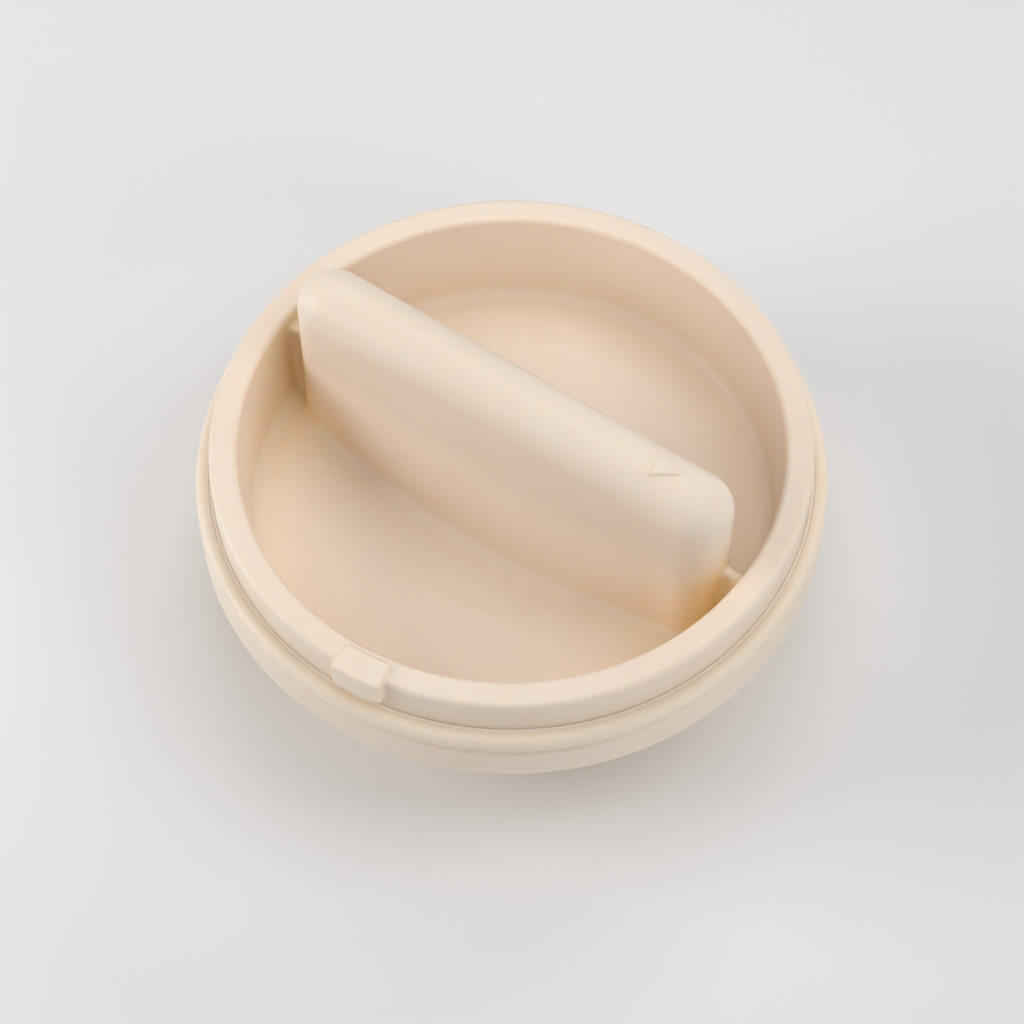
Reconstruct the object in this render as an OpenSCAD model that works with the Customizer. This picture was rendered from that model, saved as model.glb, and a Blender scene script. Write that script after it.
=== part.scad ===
// Twist-down pill crusher: a shallow dished knob with a tall grip bar screws into a round
// base cup and drives a ridged pressure plate down onto a ridged lower plate.
// Millimetres. Origin: centre of the resting plane. +Z up, +X along the grip bar.

/* [Knob] */
// Outside diameter of the knob's rim and neck
rim_d = 56; // [55.8:0.1:56.2]
// Width of the flat rim
rim_wall = 2.6; // [2.3:0.1:2.8]
// Height of the rim above the resting plane, lid closed
rim_z = 21; // [21:0.1:21.6]
// Depth of the dish below the rim
dish_depth = 10.9; // [10.4:0.1:11]
// How far the dish wall leans in from rim to floor
dish_draft = 0.7; // [0.4:0.1:0.8]
// Thickness of the dish floor
floor_t = 1.8; // [1.6:0.1:1.9]
// Neck standing above the collar's ledge
neck_h = 4.1; // [3.8:0.1:4.4]

/* [Grip bar] */
// Length of the bar
bar_len = 46.6; // [44:0.2:47]
// Thickness of the bar at its round top
bar_w = 7; // [6:0.1:7.4]
// Thickness of the bar where it meets the floor, at the middle
bar_foot_w = 11.4; // [10:0.1:13]
// Height of the bar above the rim
bar_rise = 9; // [6:0.1:10]
// Moulded wall of the hollow bar
bar_wall = 1.7; // [1.4:0.1:2]
// Thickness of the web that ties each end of the bar to the dish wall
web_t = 1.1; // [0.8:0.1:1.6]
// How far the webs stop below the rim
web_drop = 1.7; // [0.6:0.1:3]

/* [Index marks] */
// Direction of the index lug on the rim, in degrees from +X
lug_angle = -84.5; // [-100:0.5:-70]
// Width of the lug, in degrees
lug_span = 10; // [6:0.5:14]
// Outer radius of the lug
lug_r = 28.85; // [28.6:0.05:29.2]
// Height of the lug above the rim
lug_rise = 0.4; // [0.2:0.1:0.8]
// Height of the whole lug
lug_h = 3; // [2:0.1:3.6]
// Distance of the pointer from the middle of the bar
pointer_x = 16; // [8:0.2:17]
// Width of the pointer's base
pointer_w = 2.7; // [2:0.1:3.2]
// Direction of the pointer's tip, in degrees from +X
pointer_angle = 123; // [0:1:359]

/* [Base] */
// Outside diameter of the collar and of the base cup's band
body_d = 59.2; // [59:0.1:59.6]
// Height of the straight band of the base cup
band_h = 3.9; // [3.7:0.1:4]
// Height of the collar's outer bead
bead_h = 1.7; // [1.6:0.1:1.8]
// Diameter of the base cup's foot
foot_d = 44; // [43.6:0.1:44.4]
// Diameter of the crushing chamber
chamber_d = 38; // [37.6:0.1:38.2]
// How far the rubber foot ring stands below the cup
foot_out = 0.5; // [0.4:0.1:0.8]

/* [Quick thread] */
// Rise of the knob in one full turn
lead = 18; // [16:1:20]
// Number of thread starts
starts = 3; // [3:1:3]
// Length of each collar rib, in degrees
rib_span = 60; // [40:5:60]
// Length of each knob lug, in degrees
key_span = 16; // [10:1:20]

/* [Crush plates] */
// Height of the crushing ridges
ridge_h = 0.7; // [0.5:0.05:0.8]
// Number of radial ridges on the lower plate
radial_ridges = 18; // [12:1:24]
// Spacing of the ring ridges on the pressure plate
ring_pitch = 2.2; // [1.8:0.1:2.6]
// Number of guide prongs on the pressure plate
prongs = 3; // [3:1:4]

/* [Hidden] */
$fn = 128;
eps = 0.01;
hull_fn = 40;            // facets of the rounded shapes inside a hull
gap = 0.1;               // working gap between stacked flat faces
edge_r = 0.5;            // softened moulded edges
ledge_z = rim_z - neck_h;

// Knob
rim_r = rim_d / 2;
dish_top_r = rim_r - rim_wall;
dish_floor_r = dish_top_r - dish_draft;
dish_fillet = 1.2;
floor_z = rim_z - dish_depth;
under_z = floor_z - floor_t;
shoulder_z = ledge_z - 0.15;
skirt_r = rim_r - 1.8;
skirt_low_z = rim_z - 10.7;
under_r = skirt_r - 1.9;
panel_r = 12;            // round side of the two shallow panels in the dish floor
panel_in = 6.75;         // their straight side, from the bar's axis
panel_t = 0.3;

// Grip bar
bar_round = bar_w / 2;
bar_half = bar_len / 2;
bar_top = rim_z + bar_rise;
lens_in = 0.2;           // how much shorter the foot's lens is than the bar, at each end
web_len = 3;
web_sunk = 0.5;          // how deep a web reaches into the bar
pointer_rise = 0.3;      // how far the pointer stands out of the bar's round top
pointer_y = 0.5;
boss_r = 3.2;            // screw boss inside the hollow bar
boss_top_z = rim_z + 1;

// Index lug
lug_in_r = rim_r - 1.9;
lug_top_z = rim_z + lug_rise;
lug_low_z = lug_top_z - lug_h;
lug_chamfer = 0.3;

// Collar and cup
body_r = body_d / 2;
crease_z = ledge_z - bead_h;
crease_t = 0.42;         // depth of the groove at the parting line
band_low_z = crease_z - band_h;
collar_bore_r = rim_r - 0.7;
spigot_r = collar_bore_r + 1;
spigot_low_z = crease_z - 3.8;
seat_r = rim_r + 0.35;
seat_z = ledge_z - 1.25;
gasket_top_z = shoulder_z - 0.15;
lip_gap = 0.04;          // between the gasket's lip and the neck
snap_z = crease_z - 2;
snap_r = 0.3;
cavity_low_z = rim_z - 10.6;
shelf_z = under_z - 0.4;
shelf_r = under_r + 0.6;
foot_r = foot_d / 2;
cup_low_z = foot_out;
chamber_r = chamber_d / 2;
cup_floor_z = cup_low_z + 2.2;

// Quick thread: trapezoid ribs on one helix
rib_root_w = 1.2;
rib_crest_w = 0.7;
collar_rib_r = collar_bore_r - 0.8;
knob_rib_r = skirt_r + 0.8;
collar_rib_z = spigot_low_z + 0.7;
knob_rib_z = collar_rib_z - 1.1;
start_angle = 20;        // where the first collar rib begins
root_sink = 0.3;         // how deep a rib's root is sunk in its wall

// Pressure plate and its pivot
washer_t = 0.5;
plate_top_z = under_z - washer_t - gap;
plate_t = 2.4;
plate_face_z = plate_top_z - plate_t;
plate_r = chamber_r - 0.4;
ring_teeth_in = 5;
ring_teeth = floor((plate_r - 1 - ring_teeth_in) / ring_pitch);
seal_wire = 1.1;
seal_r = chamber_r - 0.8;
seal_z = plate_face_z + 0.75;
prong_in_r = chamber_r + 0.2;
prong_out_r = chamber_r + 1.4;
prong_w = 4;
prong_low_z = plate_face_z - ridge_h - 1.2;
prong_slot = 0.35;       // clearance round a prong
pivot_r = 2.05;
pivot_bore_r = pivot_r + 0.05;
shank_r = 1.25;
head_r = 3.4;
head_t = 0.9;
head_well_r = 4;
head_well_z = plate_top_z - 1.1;
head_washer_t = 0.3;
head_top_z = head_well_z - gap / 2 - head_washer_t;
shank_top_z = under_z + 10;
cap_t = 0.65;

// Lower plate
lower_r = chamber_r - 0.1;
lower_t = 1;
lower_face_z = cup_floor_z + lower_t;
peg_count = 3;
peg_circle_r = 12;
peg_r = 1.4;

// Foot ring
ring_in_r = 17.5;
ring_out_r = 21;
ring_sunk = 1;

ivory = [0.93, 0.85, 0.77];
ivory_deep = [0.88, 0.79, 0.70];

// Points on an arc of radius r about (cx, cz), from angle a0 to a1
function arc(cx, cz, r, a0, a1, n = 6) =
    [for (i = [0:n]) let (a = a0 + (a1 - a0) * i / n) [cx + r * cos(a), cz + r * sin(a)]];

// Corners of a helical rib's cross-section at angle a
function rib_section(a, a0, z0, root_r, crest_r) =
    let (z = z0 + lead * (a - a0) / 360)
    [
        [root_r * cos(a), root_r * sin(a), z - rib_root_w / 2],
        [crest_r * cos(a), crest_r * sin(a), z - rib_crest_w / 2],
        [crest_r * cos(a), crest_r * sin(a), z + rib_crest_w / 2],
        [root_r * cos(a), root_r * sin(a), z + rib_root_w / 2]
    ];

// One rib that climbs along the thread's helix from a_from to a_to; z0 is its height at a0
module helix_rib(a0, a_from, a_to, z0, root_r, crest_r) {
    steps = ceil((a_to - a_from) / 6);
    points = [
        for (i = [0:steps])
            each rib_section(a_from + (a_to - a_from) * i / steps, a0, z0, root_r, crest_r)
    ];
    outward = crest_r > root_r;
    sides = [
        for (i = [0:steps - 1], k = [0:3])
            let (p = 4 * i + k, q = 4 * i + (k + 1) % 4)
            each [[p, p + 4, q + 4], [p, q + 4, q]]
    ];
    last = 4 * steps;
    ends = [[0, 1, 2], [0, 2, 3], [last, last + 2, last + 1], [last, last + 3, last + 2]];
    faces = concat(sides, ends);
    polyhedron(points, outward ? [for (f = faces) [f[2], f[1], f[0]]] : faces);
}

// Outline of the bar's foot: a lens as wide as foot_w, with the bar's own round ends
module bar_foot(half, foot_w, end_r) {
    lens = half - lens_in;
    scale([1, foot_w / 2 / lens]) circle(lens, $fn = hull_fn * 2);
    for (side = [-1, 1]) translate([side * (half - end_r), 0]) circle(end_r, $fn = hull_fn);
}

// Solid bar from low_z up to a round top, used for the bar and for the hollow inside it
module bar_form(half, foot_w, end_r, low_z, round_z) {
    hull() {
        translate([0, 0, low_z]) linear_extrude(eps) bar_foot(half, foot_w, end_r);
        for (side = [-1, 1])
            translate([side * (half - end_r), 0, round_z]) sphere(end_r, $fn = hull_fn);
    }
}

// Dish, neck and skirt in one turned section
module knob_shell() {
    rotate_extrude() polygon(concat(
        [[0, under_z], [under_r, under_z], [skirt_r, skirt_low_z], [skirt_r, shoulder_z]],
        [[rim_r, shoulder_z]],
        arc(rim_r - edge_r, rim_z - edge_r, edge_r, 0, 90),
        arc(dish_top_r + edge_r, rim_z - edge_r, edge_r, 90, 180),
        arc(dish_floor_r - dish_fillet, floor_z + dish_fillet, dish_fillet, 0, -90),
        [[0, floor_z]]
    ));
}

module index_lug() {
    rotate([0, 0, lug_angle - lug_span / 2]) rotate_extrude(angle = lug_span) polygon([
        [lug_in_r, rim_z - 1], [rim_r - 0.3, lug_low_z], [lug_r, lug_low_z],
        [lug_r, lug_top_z - lug_chamfer], [lug_r - lug_chamfer, lug_top_z],
        [lug_in_r, lug_top_z]
    ]);
}

// Raised triangle that follows the bar's round top
module pointer() {
    tip = pointer_w * 0.9;
    intersection() {
        translate([pointer_x, pointer_y, bar_top - bar_round]) rotate([0, 0, pointer_angle])
            linear_extrude(bar_round + pointer_rise)
                polygon([[-tip / 2, -pointer_w / 2], [tip / 2, 0], [-tip / 2, pointer_w / 2]]);
        translate([0, 0, bar_top - bar_round]) rotate([0, 90, 0])
            cylinder(h = bar_half, r = bar_round + pointer_rise);
    }
}

module knob() {
    color(ivory) {
        difference() {
            union() {
                knob_shell();
                bar_form(bar_half, bar_foot_w, bar_round, floor_z - 0.5, bar_top - bar_round);
                for (side = [0, 180]) rotate([0, 0, side])
                    translate([bar_half - web_sunk, -web_t / 2, floor_z - eps])
                        cube([web_len, web_t, dish_depth - web_drop + eps]);
                index_lug();
                pointer();
            }
            translate([0, 0, floor_z - panel_t]) difference() {
                cylinder(h = 1, r = panel_r);
                translate([-panel_r, -panel_in, -1]) cube([2 * panel_r, 2 * panel_in, 3]);
            }
            difference() {
                bar_form(
                    bar_half - bar_wall, bar_foot_w - 2 * bar_wall, bar_round - bar_wall,
                    under_z - eps, bar_top - bar_round
                );
                cylinder(h = boss_top_z, r = boss_r);
            }
            translate([0, 0, under_z - eps]) cylinder(h = shank_top_z - under_z + 0.5, r = shank_r + 0.05);
        }
        for (i = [0:starts - 1])
            let (a = start_angle + i * 360 / starts)
                helix_rib(a, a - 2, a - 2 + key_span, knob_rib_z, skirt_r - root_sink, knob_rib_r);
    }
}

module threaded_collar() {
    color(ivory) {
        rotate_extrude() polygon(concat(
            [[collar_bore_r, spigot_low_z], [spigot_r, spigot_low_z], [spigot_r, snap_z - snap_r]],
            [[spigot_r + snap_r, snap_z], [spigot_r, snap_z + snap_r], [spigot_r, crease_z]],
            arc(body_r - crease_t, crease_z + crease_t, crease_t, -90, 0),
            arc(body_r - 0.9, ledge_z - 0.9, 0.9, 0, 90),
            [[seat_r, ledge_z], [seat_r, seat_z], [collar_bore_r, seat_z]]
        ));
        for (i = [0:starts - 1])
            let (a = start_angle + i * 360 / starts)
                helix_rib(
                    a, a, a + rib_span, collar_rib_z, collar_bore_r + root_sink, collar_rib_r
                );
    }
}

// Soft stop under the neck, with a lip that closes the gap round it
module rim_gasket() {
    color(ivory_deep) rotate_extrude() polygon([
        [collar_bore_r + 0.05, seat_z], [seat_r - 0.05, seat_z], [seat_r - 0.05, ledge_z],
        [rim_r + lip_gap, ledge_z], [rim_r + lip_gap, gasket_top_z],
        [collar_bore_r + 0.05, gasket_top_z]
    ]);
}

module base_cup() {
    color(ivory_deep) difference() {
        rotate_extrude() polygon(concat(
            [[0, cup_low_z], [foot_r - 0.6, cup_low_z], [foot_r, cup_low_z + 0.6]],
            [[foot_r, cup_low_z + 1], [body_r - 0.4, band_low_z - 0.4], [body_r, band_low_z]],
            [[body_r, crease_z - crease_t], [body_r - crease_t, crease_z - eps]],
            [[spigot_r + 0.05, crease_z - eps], [spigot_r + 0.05, snap_z + snap_r]],
            [[spigot_r + 0.05 + snap_r, snap_z], [spigot_r + 0.05, snap_z - snap_r]],
            [[spigot_r + 0.05, spigot_low_z - 0.05], [collar_bore_r, spigot_low_z - 0.05]],
            [[collar_bore_r, cavity_low_z], [shelf_r, shelf_z]],
            [[chamber_r, shelf_z], [chamber_r, cup_floor_z], [0, cup_floor_z]]
        ));
        for (i = [0:prongs - 1]) rotate([0, 0, i * 360 / prongs])
            intersection() {
                translate([prong_in_r - 1, -prong_w / 2 - prong_slot, prong_low_z - 0.4])
                    cube([4, prong_w + 2 * prong_slot, rim_z]);
                cylinder(h = rim_z, r = prong_out_r + prong_slot);
            }
        translate([0, 0, cup_low_z - eps]) difference() {
            cylinder(h = ring_sunk, r = ring_out_r + 0.05);
            translate([0, 0, -1]) cylinder(h = ring_sunk + 2, r = ring_in_r - 0.05);
        }
        for (i = [0:peg_count - 1]) rotate([0, 0, i * 360 / peg_count])
            translate([peg_circle_r, 0, 0]) cylinder(h = cup_floor_z + 1, r = peg_r + 0.05);
    }
}

module foot_ring() {
    color("dimgray") difference() {
        cylinder(h = foot_out + ring_sunk - eps, r = ring_out_r);
        translate([0, 0, -1]) cylinder(h = 5, r = ring_in_r);
    }
}

module lower_crush_plate() {
    color("silver") {
        translate([0, 0, cup_floor_z]) cylinder(h = lower_t, r = lower_r);
        intersection() {
            for (i = [0:radial_ridges - 1]) rotate([0, 0, i * 360 / radial_ridges])
                translate([3.5, 0, lower_face_z - eps]) rotate([90, 0, 90])
                    linear_extrude(lower_r)
                        polygon([[-0.6, 0], [0.6, 0], [0.1, ridge_h], [-0.1, ridge_h]]);
            cylinder(h = rim_z, r = lower_r - 1);
        }
        for (i = [0:peg_count - 1]) rotate([0, 0, i * 360 / peg_count])
            translate([peg_circle_r, 0, cup_low_z + 0.4])
                cylinder(h = cup_floor_z - cup_low_z, r = peg_r);
    }
}

module pressure_plate() {
    tooth_end_r = ring_teeth_in + ring_teeth * ring_pitch;
    color("silver") {
        rotate_extrude() polygon(concat(
            [[pivot_bore_r, plate_top_z], [pivot_bore_r, head_well_z], [head_well_r, head_well_z]],
            [[head_well_r, plate_face_z], [ring_teeth_in, plate_face_z]],
            [for (i = [0:ring_teeth - 1], step = [[0.5, 1], [1, 0]])
                [ring_teeth_in + (i + step[0]) * ring_pitch, plate_face_z - step[1] * ridge_h]],
            [[plate_r, plate_face_z], [plate_r, seal_z - seal_wire / 2]],
            [[seal_r - seal_wire / 2, seal_z - seal_wire / 2]],
            [[seal_r - seal_wire / 2, seal_z + seal_wire / 2]],
            [[plate_r, seal_z + seal_wire / 2], [plate_r, plate_top_z]]
        ));
        for (i = [0:prongs - 1]) rotate([0, 0, i * 360 / prongs]) {
            translate([prong_in_r, -prong_w / 2, prong_low_z])
                cube([prong_out_r - prong_in_r, prong_w, plate_top_z - prong_low_z]);
            translate([plate_r - 0.5, -prong_w / 2, plate_top_z - 0.9])
                cube([prong_out_r - plate_r + 0.5, prong_w, 0.9]);
        }
    }
}

module wiper_seal() {
    color("dimgray") translate([0, 0, seal_z])
        rotate_extrude() translate([seal_r, 0]) circle(seal_wire / 2 - 0.01, $fn = 32);
}

module pivot_cap() {
    color("silver") translate([0, 0, plate_face_z - ridge_h + 0.05])
        cylinder(h = cap_t, r = head_well_r - 0.01);
}

module thrust_washer() {
    color("white") translate([0, 0, under_z - washer_t]) difference() {
        cylinder(h = washer_t, r = 7.5);
        translate([0, 0, -1]) cylinder(h = 3, r = pivot_bore_r + 0.05);
    }
}

module pivot_screw() {
    color("silver") difference() {
        union() {
            translate([0, 0, head_top_z - head_t]) cylinder(h = head_t, r = head_r);
            translate([0, 0, head_top_z - eps]) cylinder(h = under_z - head_top_z, r = pivot_r);
            translate([0, 0, under_z - 1]) cylinder(h = shank_top_z - under_z + 1, r = shank_r);
        }
        translate([0, 0, head_top_z - head_t - eps]) cylinder(h = 0.6, r = 1.3, $fn = 6);
    }
}

module head_washer() {
    color("silver") translate([0, 0, head_top_z]) difference() {
        cylinder(h = head_washer_t, r = head_r + 0.3);
        translate([0, 0, -1]) cylinder(h = 3, r = pivot_r + 0.02);
    }
}

base_cup();
foot_ring();
lower_crush_plate();
threaded_collar();
rim_gasket();
pressure_plate();
wiper_seal();
pivot_cap();
knob();
thrust_washer();
pivot_screw();
head_washer();
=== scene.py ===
"""Twist-down pill crusher in ivory plastic on a pale floor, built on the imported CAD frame."""

import math

import bmesh
import bpy
import numpy as np
from mathutils import Matrix, Vector


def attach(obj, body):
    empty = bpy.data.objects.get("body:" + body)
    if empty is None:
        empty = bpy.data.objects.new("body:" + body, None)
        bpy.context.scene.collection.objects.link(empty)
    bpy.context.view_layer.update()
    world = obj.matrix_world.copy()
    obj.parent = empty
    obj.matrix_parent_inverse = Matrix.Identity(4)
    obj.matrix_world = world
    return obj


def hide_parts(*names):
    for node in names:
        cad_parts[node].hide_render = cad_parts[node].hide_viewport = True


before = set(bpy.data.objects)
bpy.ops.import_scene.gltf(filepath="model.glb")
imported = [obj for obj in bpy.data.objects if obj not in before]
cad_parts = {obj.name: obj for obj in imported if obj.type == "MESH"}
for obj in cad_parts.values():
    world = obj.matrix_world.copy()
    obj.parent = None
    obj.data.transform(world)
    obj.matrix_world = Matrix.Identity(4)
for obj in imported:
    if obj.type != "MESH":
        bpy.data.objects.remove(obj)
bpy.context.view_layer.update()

MM = 0.001

# ---------------------------------------------------------------- sizes, in millimetres
RIM_R = 28.0
RIM_Z = 21.0
RIM_EDGE = 0.5
SHOULDER_Z = 16.75
SKIRT_R = 26.2
SKIRT_LOW_Z = 10.3
UNDER_R = 24.3
UNDER_Z = 8.3
FLOOR_Z = 10.1
DISH_TOP_R = 25.4
DISH_FLOOR_R = 24.7
DISH_FILLET = 1.2
PANEL_R = 12.0
PANEL_IN = 6.75
PANEL_DEPTH = 0.22
PANEL_SLOPE = 1.4
PANEL_STEP = 0.7
SINK_R = 18.3
SINK_DEPTH = 0.12
SINK_SLOPE = 1.6

BAR_HALF = 23.3
BAR_R = 3.5
BAR_AXIS_Z = 26.5
BAR_FOOT_W = 5.7
BAR_FOOT_A = 23.1
BAR_FILLET = 0.9
BAR_WALL = 1.7
WEB_HALF_T = 0.55
WEB_TOP_Z = 19.3
WEB_FILLET = 0.5
WEB_SUNK = 1.5
BOSS_R = 3.2
BOSS_TOP_Z = 22.0
SCREW_HOLE_R = 1.3
SCREW_HOLE_Z = 18.8

GASKET_IN_R = 27.35
GASKET_OUT_R = 28.335
GASKET_LOW_Z = 15.65
GASKET_TOP_Z = 16.6
LIP_IN_R = RIM_R + 0.015
LIP_TOP_Z = 16.88
LIP_EDGE = 0.04
LIP_IN_EDGE = 0.045

LUG_ANGLE = math.radians(-84.5)
LUG_HALF = math.radians(5)
LUG_IN_R = 26.1
LUG_OUT_R = 28.85
LUG_LOW_Z = 18.4
LUG_TOP_Z = 21.4
LUG_END_EDGE = 0.35
POINTER_AT = (16.0, 0.5)
POINTER_ANGLE = math.radians(123)
POINTER_W = 2.7
POINTER_LEN = 2.4
POINTER_RISE = 0.26
POINTER_CORNER = 0.15

LEAD = 18.0
THREAD_STARTS = 3
THREAD_FIRST = math.radians(20)
KEY_BACK = math.radians(2)
KEY_SPAN = math.radians(16)
KEY_Z = 11.0
KEY_R = 27.0

SOFT_EDGE = 0.3          # rounding of the smaller edges
FINE_EDGE = 0.2          # rounding of the pointer, the lug's foot and the thread ribs' roots
CRISP_EDGE = 0.15        # rounding of the smallest edges

NET_STEP = 0.3
NET_MARGIN = 0.2
FINE_LEVELS = 2          # how often the faces of small features are split
FINE_POINTER_R = 2.2     # how far the fine mesh reaches round the pointer, the lug and the panels
FINE_POINTER_Z = 29.0
FINE_LUG = 0.6
FINE_LUG_SPREAD = 1.35
FINE_PANEL = 0.5
LATHE_SIDES = 360


# ---------------------------------------------------------------- distance fields
def round_max(a, b, r):
    """Where both solids are, with their shared edge rounded to radius r."""
    return np.minimum(np.maximum(a, b), -r) + np.hypot(
        np.maximum(a + r, 0), np.maximum(b + r, 0)
    )


def round_min(a, b, r):
    """Either solid, with a fillet of radius r where they meet."""
    return np.maximum(np.minimum(a, b), r) - np.hypot(
        np.maximum(r - a, 0), np.maximum(r - b, 0)
    )


def beside_line(r, z, a, b):
    """Distance from the line a to b in the (r, z) plane, positive on its right."""
    dr, dz = b[0] - a[0], b[1] - a[1]
    return ((r - a[0]) * dz - (z - a[1]) * dr) / math.hypot(dr, dz)


def smooth_step(t):
    """0 below t = -0.5, 1 above 0.5, smooth between."""
    t = np.clip(t + 0.5, 0, 1)
    return t * t * (3 - 2 * t)


def dish_floor(r, y):
    """Height of the dish floor: two shallow D-shaped panels beside the bar, and a very slight sink."""
    arc = smooth_step((PANEL_R - r) / PANEL_SLOPE)
    straight = smooth_step((np.abs(y) - PANEL_IN) / PANEL_STEP)
    sink = smooth_step((SINK_R - r) / SINK_SLOPE)
    return FLOOR_Z - PANEL_DEPTH * arc * straight - SINK_DEPTH * sink


def shell_distance(r, z, floor):
    """Rim, neck, skirt and dish; floor is the height of the dish floor."""
    neck = np.maximum(round_max(r - RIM_R, z - RIM_Z, RIM_EDGE), SHOULDER_Z - z)
    chamfer = beside_line(r, z, (UNDER_R, UNDER_Z), (SKIRT_R, SKIRT_LOW_Z))
    skirt = round_max(np.maximum(r - SKIRT_R, z - RIM_Z + 1), chamfer, 0.4)
    skirt = round_max(skirt, UNDER_Z - z, SOFT_EDGE)
    body = np.minimum(neck, skirt)
    wall = beside_line(r, z, (DISH_FLOOR_R, FLOOR_Z), (DISH_TOP_R, RIM_Z))
    dish = round_max(wall, floor - z, DISH_FILLET)
    return round_max(body, -dish, RIM_EDGE)


def bar_distance(x, y, z):
    """The grip bar: a round top whose sides lean out to a lens-shaped foot."""
    lens = BAR_FOOT_W * np.sqrt(np.maximum(1 - (x / BAR_FOOT_A) ** 2, 0)) - BAR_R
    foot = BAR_R + (lens + np.sqrt(lens * lens + 0.09)) / 2
    drop = BAR_AXIS_Z - FLOOR_Z
    lean = np.arccos(BAR_R / np.hypot(foot, drop)) - np.arctan2(drop, foot)
    out = np.hypot(np.maximum(np.abs(x) - BAR_HALF + BAR_R, 0), y)
    up = np.maximum(z, FLOOR_Z - 0.5) - BAR_AXIS_Z
    side = out * np.cos(lean) + up * np.sin(lean) - BAR_R
    top = np.hypot(out, up) - BAR_R
    return np.where(up * np.cos(lean) > out * np.sin(lean), top, side)


def pointer_distance(x, y):
    """Outline of the pointer's triangle."""
    c, s = math.cos(POINTER_ANGLE), math.sin(POINTER_ANGLE)
    along = (x - POINTER_AT[0]) * c + (y - POINTER_AT[1]) * s
    across = np.abs((y - POINTER_AT[1]) * c - (x - POINTER_AT[0]) * s)
    half = POINTER_LEN / 2
    slope = math.hypot(POINTER_LEN, POINTER_W / 2)
    flank = (across * POINTER_LEN - (half - along) * POINTER_W / 2) / slope
    return round_max(flank, -half - along, POINTER_CORNER)


def lug_distance(x, y, z, r):
    """The index lug on the rim's outer edge."""
    c, s = math.cos(LUG_ANGLE), math.sin(LUG_ANGLE)
    u, v = x * c + y * s, np.abs(y * c - x * s)
    end = v * math.cos(LUG_HALF) - u * math.sin(LUG_HALF)
    radial = np.maximum(r - LUG_OUT_R, LUG_IN_R - r)
    block = round_max(radial, z - LUG_TOP_Z, SOFT_EDGE)
    return round_max(round_max(block, end, LUG_END_EDGE), LUG_LOW_Z - z, FINE_EDGE)


def key_distance(x, y, z, r):
    """The knob's three short thread ribs."""
    turn = 2 * math.pi / THREAD_STARTS
    start = THREAD_FIRST - KEY_BACK
    angle = np.mod(np.arctan2(y, x) - start + turn / 2, turn) - turn / 2
    height = KEY_Z + LEAD * (angle - KEY_BACK) / (2 * math.pi)
    half = 0.6 - 0.25 * (r - SKIRT_R + 0.3) / (KEY_R - SKIRT_R + 0.3)
    band = round_max(np.abs(z - height) - half, r - KEY_R, CRISP_EDGE)
    ends = (np.abs(angle - KEY_SPAN / 2) - KEY_SPAN / 2) * r
    return np.maximum(round_max(band, ends, CRISP_EDGE), SKIRT_R - 1 - r)


def web_distance(x, y, z, r):
    """The thin walls that tie the bar's ends to the dish wall."""
    web = round_max(np.abs(y) - WEB_HALF_T, z - WEB_TOP_Z, SOFT_EDGE)
    web = np.maximum(web, np.maximum(BAR_HALF - WEB_SUNK - np.abs(x), r - DISH_TOP_R - 1))
    return np.maximum(web, FLOOR_Z - 1 - z)


def knob_distance(x, y, z):
    """The whole knob moulding."""
    r = np.hypot(x, y)
    bar = bar_distance(x, y, z)
    shell = shell_distance(r, z, dish_floor(r, y))
    solid = round_min(shell, np.maximum(bar, UNDER_Z - z), BAR_FILLET)
    solid = round_min(solid, web_distance(x, y, z, r), WEB_FILLET)
    pointer = round_max(bar - POINTER_RISE, pointer_distance(x, y), FINE_EDGE)
    solid = round_min(solid, np.maximum(pointer, BAR_AXIS_Z - z), CRISP_EDGE)
    solid = round_min(solid, lug_distance(x, y, z, r), SOFT_EDGE)
    solid = round_min(solid, key_distance(x, y, z, r), FINE_EDGE)
    boss = np.maximum(r - BOSS_R, z - BOSS_TOP_Z)
    hollow = round_max(bar + BAR_WALL, -boss, SOFT_EDGE)
    hole = np.maximum(r - SCREW_HOLE_R, z - SCREW_HOLE_Z)
    solid = round_max(solid, -hollow, SOFT_EDGE)
    return round_max(solid, -hole, CRISP_EDGE)


# ---------------------------------------------------------------- surface nets
def gradient(distance, p, h=0.02):
    """Slope of distance at the points p, from samples h to either side."""
    g = np.empty_like(p)
    for k in range(3):
        q = p.copy()
        q[:, k] += h
        ahead = distance(q[:, 0], q[:, 1], q[:, 2])
        q[:, k] -= 2 * h
        g[:, k] = (ahead - distance(q[:, 0], q[:, 1], q[:, 2])) / (2 * h)
    return g


def settle(distance, p, rounds, limit):
    """Moves points onto the surface, each step no longer than limit."""
    for _ in range(rounds):
        g = gradient(distance, p)
        d = distance(p[:, 0], p[:, 1], p[:, 2])
        move = (-d / np.maximum((g * g).sum(1), 0.25))[:, None] * g
        length = np.linalg.norm(move, axis=1, keepdims=True)
        p = p + move * np.minimum(1, limit / np.maximum(length, 1e-9))
    return p


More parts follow.
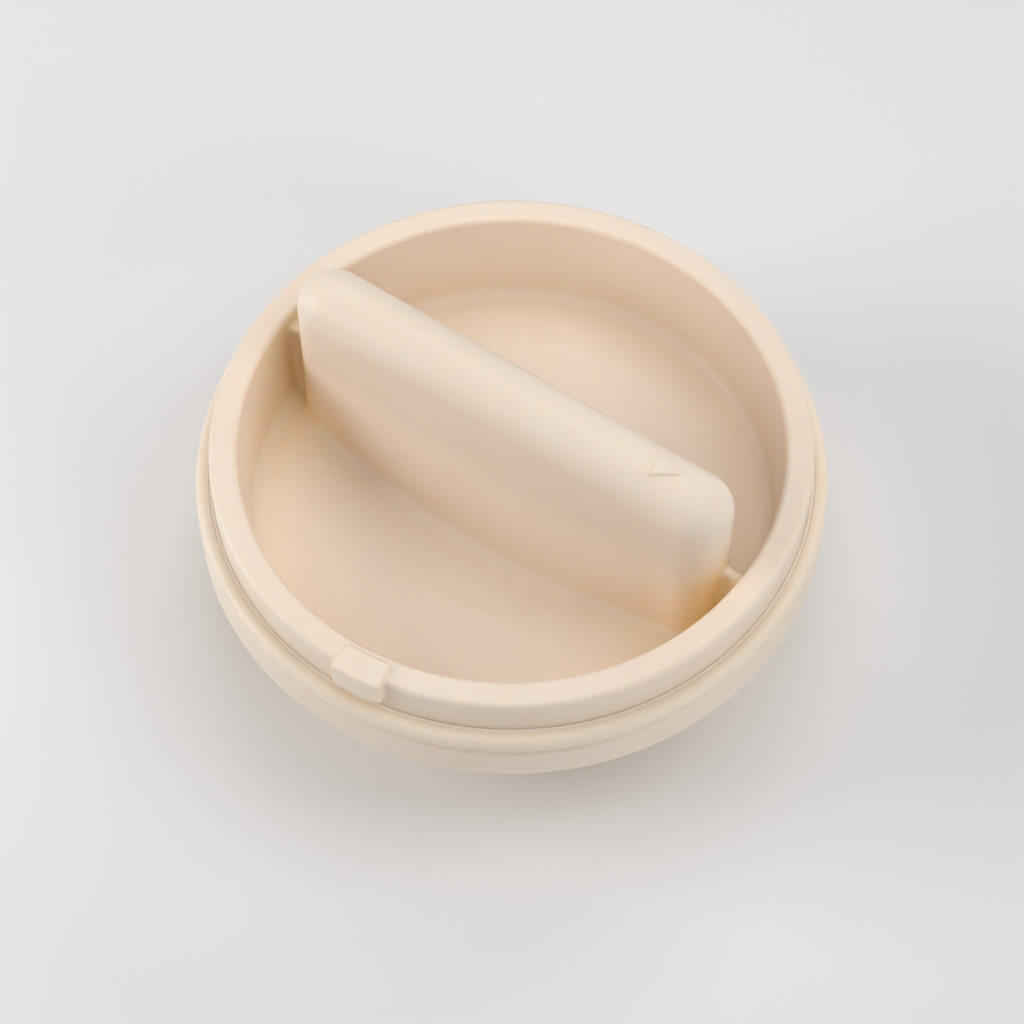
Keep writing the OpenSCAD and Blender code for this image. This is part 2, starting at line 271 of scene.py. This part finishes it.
def surface_net(distance, low, high, step):
    """Vertices and outward quads of the surface where distance is zero."""
    axes = [np.arange(a - step, b + 2 * step, step) for a, b in zip(low, high)]
    x, y, z = np.meshgrid(*axes, indexing="ij", sparse=True)
    values = np.broadcast_to(distance(x, y, z), [len(a) for a in axes])
    inside = values < 0
    corner = [
        inside[i : i - 1 or None, j : j - 1 or None, k : k - 1 or None]
        for i in (0, 1) for j in (0, 1) for k in (0, 1)
    ]
    total = sum(c.astype(np.int8) for c in corner)
    cells = np.argwhere((total > 0) & (total < 8))
    index = np.full(total.shape, -1, np.int64)
    index[tuple(cells.T)] = np.arange(len(cells))
    weight = np.zeros(len(cells))
    point = np.zeros((len(cells), 3))
    offsets = [np.array((i, j, k)) for i in (0, 1) for j in (0, 1) for k in (0, 1)]
    for a in offsets:
        for axis in range(3):
            if a[axis]:
                continue
            b = a.copy()
            b[axis] = 1
            va = values[tuple((cells + a).T)]
            vb = values[tuple((cells + b).T)]
            crossing = (va < 0) != (vb < 0)
            t = np.where(crossing, va / np.where(crossing, va - vb, 1), 0)
            point += crossing[:, None] * (a + t[:, None] * (b - a))
            weight += crossing
    origin = np.array([a[0] for a in axes])
    point = origin + step * (cells + point / weight[:, None])
    quads = []
    for axis in range(3):
        first = [slice(None)] * 3
        second = [slice(None)] * 3
        first[axis], second[axis] = slice(0, -1), slice(1, None)
        starts, stops = inside[tuple(first)], inside[tuple(second)]
        u, v = (axis + 1) % 3, (axis + 2) % 3
        edges = np.argwhere(starts != stops)
        du, dv = np.eye(3, dtype=int)[u], np.eye(3, dtype=int)[v]
        ring = [index[tuple((edges - o).T)] for o in (du + dv, dv, 0 * du, du)]
        ring = np.stack(ring, 1)
        flip = ~starts[tuple(edges.T)]
        ring[flip] = ring[flip][:, ::-1]
        quads.append(ring)
    return point, np.concatenate(quads)


def on_neck_edge(p):
    """Which points belong to the neck's sharp lower edge."""
    r = np.hypot(p[:, 0], p[:, 1])
    return (np.abs(r - RIM_R) < 0.65 * NET_STEP) & (np.abs(p[:, 2] - SHOULDER_Z) < 0.5 * NET_STEP)


def refine(mesh, distance, chosen, levels):
    """Splits the faces where chosen says so, puts the new points on the surface and sets exact normals."""
    work = bmesh.new()
    work.from_mesh(mesh)
    for _ in range(levels):
        work.verts.ensure_lookup_table()
        mask = chosen(np.array([v.co for v in work.verts]) / MM)
        edges = [e for e in work.edges if mask[e.verts[0].index] and mask[e.verts[1].index]]
        bmesh.ops.subdivide_edges(work, edges=edges, cuts=1, use_grid_fill=True)
        work.verts.index_update()
        p = settle(distance, np.array([v.co for v in work.verts]) / MM, 3, NET_STEP / 2)
        for vertex, place in zip(work.verts, p * MM):
            vertex.co = place
    for face in work.faces:
        face.smooth = True
    work.to_mesh(mesh)
    work.free()
    p[:, 2] += np.where(on_neck_edge(p), 0.1, 0)
    normals = gradient(distance, p, 0.01)
    normals /= np.maximum(np.linalg.norm(normals, axis=1, keepdims=True), 1e-9)
    mesh.normals_split_custom_set_from_vertices(normals)


def mesh_object(name, points, faces):
    """A smooth object from points in millimetres; every face has as many corners."""
    mesh = bpy.data.meshes.new(name)
    mesh.vertices.add(len(points))
    mesh.vertices.foreach_set("co", (np.asarray(points) * MM).astype(np.float32).ravel())
    loops = np.asarray(faces)
    mesh.loops.add(loops.size)
    mesh.loops.foreach_set("vertex_index", loops.ravel().astype(np.int32))
    mesh.polygons.add(len(loops))
    width = loops.shape[1]
    mesh.polygons.foreach_set("loop_start", np.arange(len(loops), dtype=np.int32) * width)
    mesh.update(calc_edges=True)
    mesh.validate()
    mesh.polygons.foreach_set("use_smooth", np.ones(len(mesh.polygons), bool))
    obj = bpy.data.objects.new(name, mesh)
    bpy.context.scene.collection.objects.link(obj)
    return obj


def fine_part(p):
    """Where the knob's small features are: the pointer, the lug and the panels' straight edges."""
    r = np.hypot(p[:, 0], p[:, 1])
    side = np.abs(p[:, 1])
    from_pointer = np.hypot(p[:, 0] - POINTER_AT[0], p[:, 1] - POINTER_AT[1])
    pointer = (from_pointer < FINE_POINTER_R) & (p[:, 2] > FINE_POINTER_Z)
    angle = np.arctan2(p[:, 1], p[:, 0]) - LUG_ANGLE
    lug = (np.abs(angle) < LUG_HALF * FINE_LUG_SPREAD) & (r > LUG_IN_R - FINE_LUG)
    lug &= p[:, 2] > LUG_LOW_Z - FINE_LUG
    edge = (np.abs(side - PANEL_IN) < FINE_PANEL) & (r < PANEL_R) & (np.abs(p[:, 2] - FLOOR_Z) < 1)
    return pointer | lug | edge


net_low_z = SHOULDER_Z - (math.ceil((SHOULDER_Z - UNDER_Z) / NET_STEP) + 0.5) * NET_STEP
net_r = RIM_R + NET_MARGIN
points, quads = surface_net(
    knob_distance,
    (-net_r, -LUG_OUT_R - NET_MARGIN / 2, net_low_z),
    (net_r, net_r, BAR_AXIS_Z + BAR_R + 2 * NET_MARGIN),
    NET_STEP,
)
points = settle(knob_distance, points, 3, NET_STEP)
edge = on_neck_edge(points)
points[edge, :2] *= RIM_R / np.hypot(points[edge, 0], points[edge, 1])[:, None]
points[edge, 2] = SHOULDER_Z
knob = mesh_object("knob_moulding", points, quads)
refine(knob.data, knob_distance, fine_part, FINE_LEVELS)
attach(knob, "knob")
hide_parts("knob")


def lathe(name, profile, sides=LATHE_SIDES):
    """A ring turned from a closed (r, z) profile that runs anticlockwise."""
    angle = np.arange(sides)[:, None] * 2 * math.pi / sides
    r, z = np.array(profile).T
    rings = np.broadcast_arrays(r * np.cos(angle), r * np.sin(angle), z)
    points = np.stack(rings, 2).reshape(-1, 3)
    first = np.arange(sides)[:, None] * len(profile)
    after = (np.arange(sides)[:, None] + 1) % sides * len(profile)
    here, there = np.arange(len(profile)), (np.arange(len(profile)) + 1) % len(profile)
    quads = np.stack([first + here, after + here, after + there, first + there], 2)
    obj = mesh_object(name, points, quads.reshape(-1, 4))
    obj.data.set_sharp_from_angle(angle=math.radians(35))
    return obj


gasket = lathe("neck_gasket", [
    (GASKET_IN_R, GASKET_LOW_Z), (GASKET_OUT_R, GASKET_LOW_Z),
    (GASKET_OUT_R, LIP_TOP_Z - LIP_EDGE), (GASKET_OUT_R - LIP_EDGE, LIP_TOP_Z),
    (LIP_IN_R + LIP_IN_EDGE, LIP_TOP_Z), (LIP_IN_R, LIP_TOP_Z - LIP_EDGE),
    (LIP_IN_R, GASKET_TOP_Z), (GASKET_IN_R, GASKET_TOP_Z),
])
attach(gasket, "base")
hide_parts("rim_gasket")


# ---------------------------------------------------------------- materials
def node_material(name):
    """A new material with its node tree and its shader."""
    material = bpy.data.materials.new(name)
    material.use_nodes = True
    tree = material.node_tree
    return material, tree, tree.nodes["Principled BSDF"]


def add(tree, kind, **inputs):
    """A new node with the given input values."""
    node = tree.nodes.new(kind)
    for key, value in inputs.items():
        node.inputs[key.replace("_", " ")].default_value = value
    return node


def ramp_node(tree, source, *stops):
    """A colour ramp driven by source; stops are (position, colour)."""
    ramp = tree.nodes.new("ShaderNodeValToRGB")
    elements = ramp.color_ramp.elements
    while len(elements) < len(stops):
        elements.new(0.5)
    for element, (position, colour) in zip(elements, stops):
        element.position = position
        element.color = (*colour, 1)
    tree.links.new(source, ramp.inputs["Fac"])
    return ramp.outputs["Color"]


def spread(tree, source, low, high, start=0.3, stop=0.7):
    """source's middle range spread from low to high."""
    node = add(tree, "ShaderNodeMapRange")
    for key, value in zip(("From Min", "From Max", "To Min", "To Max"), (start, stop, low, high)):
        node.inputs[key].default_value = value
    tree.links.new(source, node.inputs["Value"])
    return node.outputs["Result"]


def mix(tree, fac, a, b, kind="MIX"):
    """Colours a and b mixed; fac is a number or an output."""
    node = tree.nodes.new("ShaderNodeMix")
    node.data_type = "RGBA"
    node.blend_type = kind
    if isinstance(fac, float):
        node.inputs["Factor"].default_value = fac
    else:
        tree.links.new(fac, node.inputs["Factor"])
    for socket, value in ((node.inputs["A"], a), (node.inputs["B"], b)):
        if isinstance(value, tuple):
            socket.default_value = (*value, 1)
        else:
            tree.links.new(value, socket)
    return node.outputs["Result"]


def bumps(tree, shader, *layers):
    """Stacks bump layers, each (height output, strength, distance)."""
    normal = None
    for height, strength, distance in layers:
        node = add(tree, "ShaderNodeBump", Strength=strength, Distance=distance)
        tree.links.new(height, node.inputs["Height"])
        if normal:
            tree.links.new(normal, node.inputs["Normal"])
        normal = node.outputs["Normal"]
    tree.links.new(normal, shader.inputs["Normal"])


def noises(tree, *settings):
    """Noise outputs in object space, each from (scale, detail, roughness)."""
    place = add(tree, "ShaderNodeTexCoord")
    outputs = []
    for scale, detail, roughness in settings:
        node = add(tree, "ShaderNodeTexNoise", Scale=scale, Detail=detail, Roughness=roughness)
        tree.links.new(place.outputs["Object"], node.inputs["Vector"])
        outputs.append(node.outputs["Fac"])
    return place.outputs["Object"], outputs


def worn_edges(tree):
    """1 on raised edges, 0 elsewhere."""
    shape = tree.nodes.new("ShaderNodeNewGeometry")
    return spread(tree, shape.outputs["Pointiness"], 0.0, 1.0, 0.53, 0.6)


def moulded_plastic(name, light, dark, roughness, scatter):
    """Satin injection moulding: flow marks, fine grain, scuffs, grubby patches, a waxy depth from
    subsurface scattering, and painted golden shade in hollows and creases.
    """
    material, tree, shader = node_material(name)
    place, (cloud, grain, ripple, patch) = noises(
        tree, (90.0, 4.0, 0.55), (5200.0, 2.0, 0.5), (380.0, 3.0, 0.5), (170.0, 5.0, 0.6)
    )
    colour = ramp_node(tree, cloud, (0.3, dark), (0.7, light))
    # Painted shade: ambient occlusion tints hollows, creases and the pockets beside the bar darker and
    # golden, in place of light bounced inside them.
    hollow = add(tree, "ShaderNodeAmbientOcclusion", Distance=PAINTED_SHADE_REACH)
    hollow.samples = PAINTED_SHADE_SAMPLES
    painted_shade = ramp_node(tree, hollow.outputs["AO"], *PAINTED_SHADE_TINT)
    colour = mix(tree, 1.0, colour, painted_shade, "MULTIPLY")
    colour = mix(tree, spread(tree, patch, 0.0, 0.35, 0.56, 0.74), colour, dark)
    tree.links.new(colour, shader.inputs["Base Color"])
    scuff = add(tree, "ShaderNodeTexNoise", Scale=1.0, Detail=3.0)
    stretch = add(tree, "ShaderNodeMapping")
    stretch.inputs["Scale"].default_value = (240, 2600, 900)
    tree.links.new(place, stretch.inputs["Vector"])
    tree.links.new(stretch.outputs["Vector"], scuff.inputs["Vector"])
    gloss = tree.nodes.new("ShaderNodeMath")
    gloss.operation = "ADD"
    tree.links.new(spread(tree, ripple, roughness - 0.05, roughness + 0.05), gloss.inputs[0])
    tree.links.new(spread(tree, scuff.outputs["Fac"], 0.0, 0.08, 0.55, 0.7), gloss.inputs[1])
    tree.links.new(gloss.outputs["Value"], shader.inputs["Roughness"])
    shader.inputs["Subsurface Weight"].default_value = scatter
    shader.inputs["Subsurface Radius"].default_value = (1.0, 0.62, 0.34)
    shader.inputs["Subsurface Scale"].default_value = 0.0012
    shader.inputs["IOR"].default_value = 1.49
    bumps(
        tree, shader,
        (ripple, 0.12, 0.0001), (scuff.outputs["Fac"], 0.03, 0.00005), (grain, 0.06, 0.00005),
    )
    return material


def rubber(name, light, dark, roughness):
    """Matt elastomer: dusty patches, moulding grain and a soft sheen."""
    material, tree, shader = node_material(name)
    _, (cloud, grain, dust) = noises(tree, (140.0, 5.0, 0.6), (3800.0, 3.0, 0.6), (420.0, 6.0, 0.7))
    colour = ramp_node(tree, cloud, (0.3, dark), (0.7, light))
    pale = tuple(0.75 * c + 0.25 * 0.8 for c in light)
    colour = mix(tree, spread(tree, dust, 0.0, 0.45, 0.52, 0.75), colour, pale)
    colour = mix(tree, worn_edges(tree), colour, pale)
    tree.links.new(colour, shader.inputs["Base Color"])
    tree.links.new(spread(tree, dust, roughness - 0.08, roughness + 0.1), shader.inputs["Roughness"])
    shader.inputs["Sheen Weight"].default_value = 0.15
    bumps(tree, shader, (cloud, 0.1, 0.0001), (grain, 0.25, 0.00006))
    return material


def turned_steel(name, light, dark, roughness):
    """Stainless steel: concentric tool marks, smudges, fine scratches and brighter edges."""
    material, tree, shader = node_material(name)
    place, (smudge, fine) = noises(tree, (160.0, 5.0, 0.6), (2400.0, 3.0, 0.6))
    rings = add(tree, "ShaderNodeTexWave", Scale=900.0, Distortion=1.2, Detail=3.0)
    rings.wave_type = "RINGS"
    rings.rings_direction = "Z"
    tree.links.new(place, rings.inputs["Vector"])
    marks = rings.outputs["Fac"]
    colour = ramp_node(tree, smudge, (0.35, dark), (0.65, light))
    colour = mix(tree, spread(tree, fine, 0.0, 0.3, 0.58, 0.75), colour, dark)
    colour = mix(tree, worn_edges(tree), colour, light)
    tree.links.new(colour, shader.inputs["Base Color"])
    gloss = tree.nodes.new("ShaderNodeMath")
    gloss.operation = "ADD"
    tree.links.new(spread(tree, smudge, roughness - 0.06, roughness + 0.1), gloss.inputs[0])
    tree.links.new(spread(tree, marks, 0.0, 0.05, 0.2, 0.8), gloss.inputs[1])
    tree.links.new(gloss.outputs["Value"], shader.inputs["Roughness"])
    shader.inputs["Metallic"].default_value = 1.0
    bumps(tree, shader, (marks, 0.12, 0.00004), (fine, 0.06, 0.00003))
    return material


IVORY_LIGHT = (0.895, 0.768, 0.65)
IVORY_DARK = (0.875, 0.738, 0.61)
# Painted shade for the plastics: how far the ambient-occlusion mask looks, its samples, and the golden
# tint painted from deep hollows (0) to open surfaces (1).
PAINTED_SHADE_REACH = 0.009
PAINTED_SHADE_SAMPLES = 4
PAINTED_SHADE_TINT = (
    (0.0, (0.97, 0.85, 0.46)), (0.3, (0.99, 0.93, 0.76)), (0.6, (1.0, 0.97, 0.93)), (0.9, (1, 1, 1))
)
STEEL_LIGHT = (0.74, 0.73, 0.71)
STEEL_DARK = (0.6, 0.59, 0.57)
MATERIALS = {
    "threaded_collar": moulded_plastic("collar_plastic", IVORY_LIGHT, IVORY_DARK, 0.44, 0.35),
    "base_cup": moulded_plastic("base_plastic", IVORY_LIGHT, IVORY_DARK, 0.46, 0.35),
    "foot_ring": rubber("foot_rubber", (0.44, 0.4, 0.36), (0.37, 0.33, 0.29), 0.7),
    "wiper_seal": rubber("seal_rubber", (0.64, 0.57, 0.49), (0.58, 0.51, 0.43), 0.5),
    "lower_crush_plate": turned_steel("crush_steel", STEEL_LIGHT, STEEL_DARK, 0.3),
    "pressure_plate": turned_steel("plate_steel", STEEL_LIGHT, STEEL_DARK, 0.28),
    "pivot_cap": turned_steel("cap_steel", STEEL_LIGHT, STEEL_DARK, 0.24),
    "pivot_screw": turned_steel("screw_steel", STEEL_LIGHT, STEEL_DARK, 0.26),
    "head_washer": turned_steel("washer_steel", STEEL_LIGHT, STEEL_DARK, 0.3),
    "thrust_washer": moulded_plastic(
        "washer_plastic", (0.85, 0.85, 0.83), (0.8, 0.8, 0.78), 0.35, 0.2
    ),
}


def dress(obj, material):
    """Gives obj this one material."""
    obj.data.materials.clear()
    obj.data.materials.append(material)


dress(knob, moulded_plastic("knob_plastic", IVORY_LIGHT, IVORY_DARK, 0.42, 0.35))
dress(gasket, rubber("gasket_silicone", (0.88, 0.76, 0.65), (0.85, 0.72, 0.6), 0.6))
for name, material in MATERIALS.items():
    dress(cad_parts[name], material)

# ---------------------------------------------------------------- floor, light, camera
FLOOR_SIZE = 3.0
floor_mesh = bpy.data.meshes.new("floor")
corners = [(x * FLOOR_SIZE, y * FLOOR_SIZE, 0) for x, y in ((-1, -1), (1, -1), (1, 1), (-1, 1))]
floor_mesh.from_pydata(corners, [], [(0, 1, 2, 3)])
floor = bpy.data.objects.new("floor", floor_mesh)
bpy.context.scene.collection.objects.link(floor)
floor_material, tree, shader = node_material("floor")
shader.inputs["Base Color"].default_value = (0.8, 0.8, 0.8, 1)
shader.inputs["Roughness"].default_value = 0.7
floor_mesh.materials.append(floor_material)


def softbox(name, place, target, size, power):
    """A square area light that faces target and isn't itself seen."""
    light = bpy.data.lights.new(name, "AREA")
    light.size = size
    light.energy = power
    obj = bpy.data.objects.new(name, light)
    obj.location = place
    obj.rotation_euler = (Vector(target) - Vector(place)).to_track_quat("-Z", "Y").to_euler()
    obj.visible_camera = False
    bpy.context.scene.collection.objects.link(obj)


CAMERA_AZIMUTH = math.radians(-55.2)
CAMERA_ELEVATION = math.radians(56.757)
CAMERA_DISTANCE = 0.28
CAMERA_ROLL = math.radians(-0.62)
CAMERA_LENS = 106.54
CAMERA_SHIFT = (0.0006, -0.0715)


def from_camera(right, back, up):
    """A point given by its distances right of, away from and above the object as the camera sees it."""
    away = Vector((-math.cos(CAMERA_AZIMUTH), -math.sin(CAMERA_AZIMUTH), 0))
    side = Vector((-math.sin(CAMERA_AZIMUTH), math.cos(CAMERA_AZIMUTH), 0))
    return side * right + away * back + Vector((0, 0, up))


# degrees round the object (0 behind it, 90 on the camera's right), degrees up, distance, power
SOFTBOXES = {
    "top": (0, 88, 0.8, 1.0),
    "back": (0, 62, 0.3, 0.15),
    "right": (90, 52, 0.8, 1.6),
    "front": (180, 52, 0.8, 0.8),
    "low_left": (270, 25, 0.35, 0.7),
    "low_back": (30, 22, 0.8, 1.4),
    "low_front_right": (135, 22, 0.8, 1.8),
}
LIGHT_SIZE = 0.57        # of its distance
LIGHT_TARGET = (0, 0, 0.02)
for name, (around, above, distance, power) in SOFTBOXES.items():
    around, above = math.radians(around), math.radians(above)
    place = distance * from_camera(
        math.sin(around) * math.cos(above), math.cos(around) * math.cos(above), math.sin(above)
    )
    softbox(name, place, LIGHT_TARGET, LIGHT_SIZE * distance, power)

world = bpy.data.worlds.new("studio")
world.use_nodes = True
world.node_tree.nodes["Background"].inputs["Color"].default_value = (1, 1, 1, 1)
world.node_tree.nodes["Background"].inputs["Strength"].default_value = 0.02
bpy.context.scene.world = world
bpy.context.scene.view_settings.view_transform = "Standard"

target = Vector((0, 0, RIM_Z * MM))
back = Vector((
    math.cos(CAMERA_AZIMUTH) * math.cos(CAMERA_ELEVATION),
    math.sin(CAMERA_AZIMUTH) * math.cos(CAMERA_ELEVATION),
    math.sin(CAMERA_ELEVATION),
))
camera_data = bpy.data.cameras.new("camera")
camera_data.sensor_width = 36
camera_data.lens = CAMERA_LENS
camera_data.shift_x, camera_data.shift_y = CAMERA_SHIFT
camera_data.clip_start = 0.01
camera = bpy.data.objects.new("camera", camera_data)
turn = (-back).to_track_quat("-Z", "Y").to_matrix().to_4x4()
camera.matrix_world = (
    Matrix.Translation(target + back * CAMERA_DISTANCE)
    @ turn
    @ Matrix.Rotation(CAMERA_ROLL, 4, "Z")
)
bpy.context.scene.collection.objects.link(camera)
bpy.context.scene.camera = camera
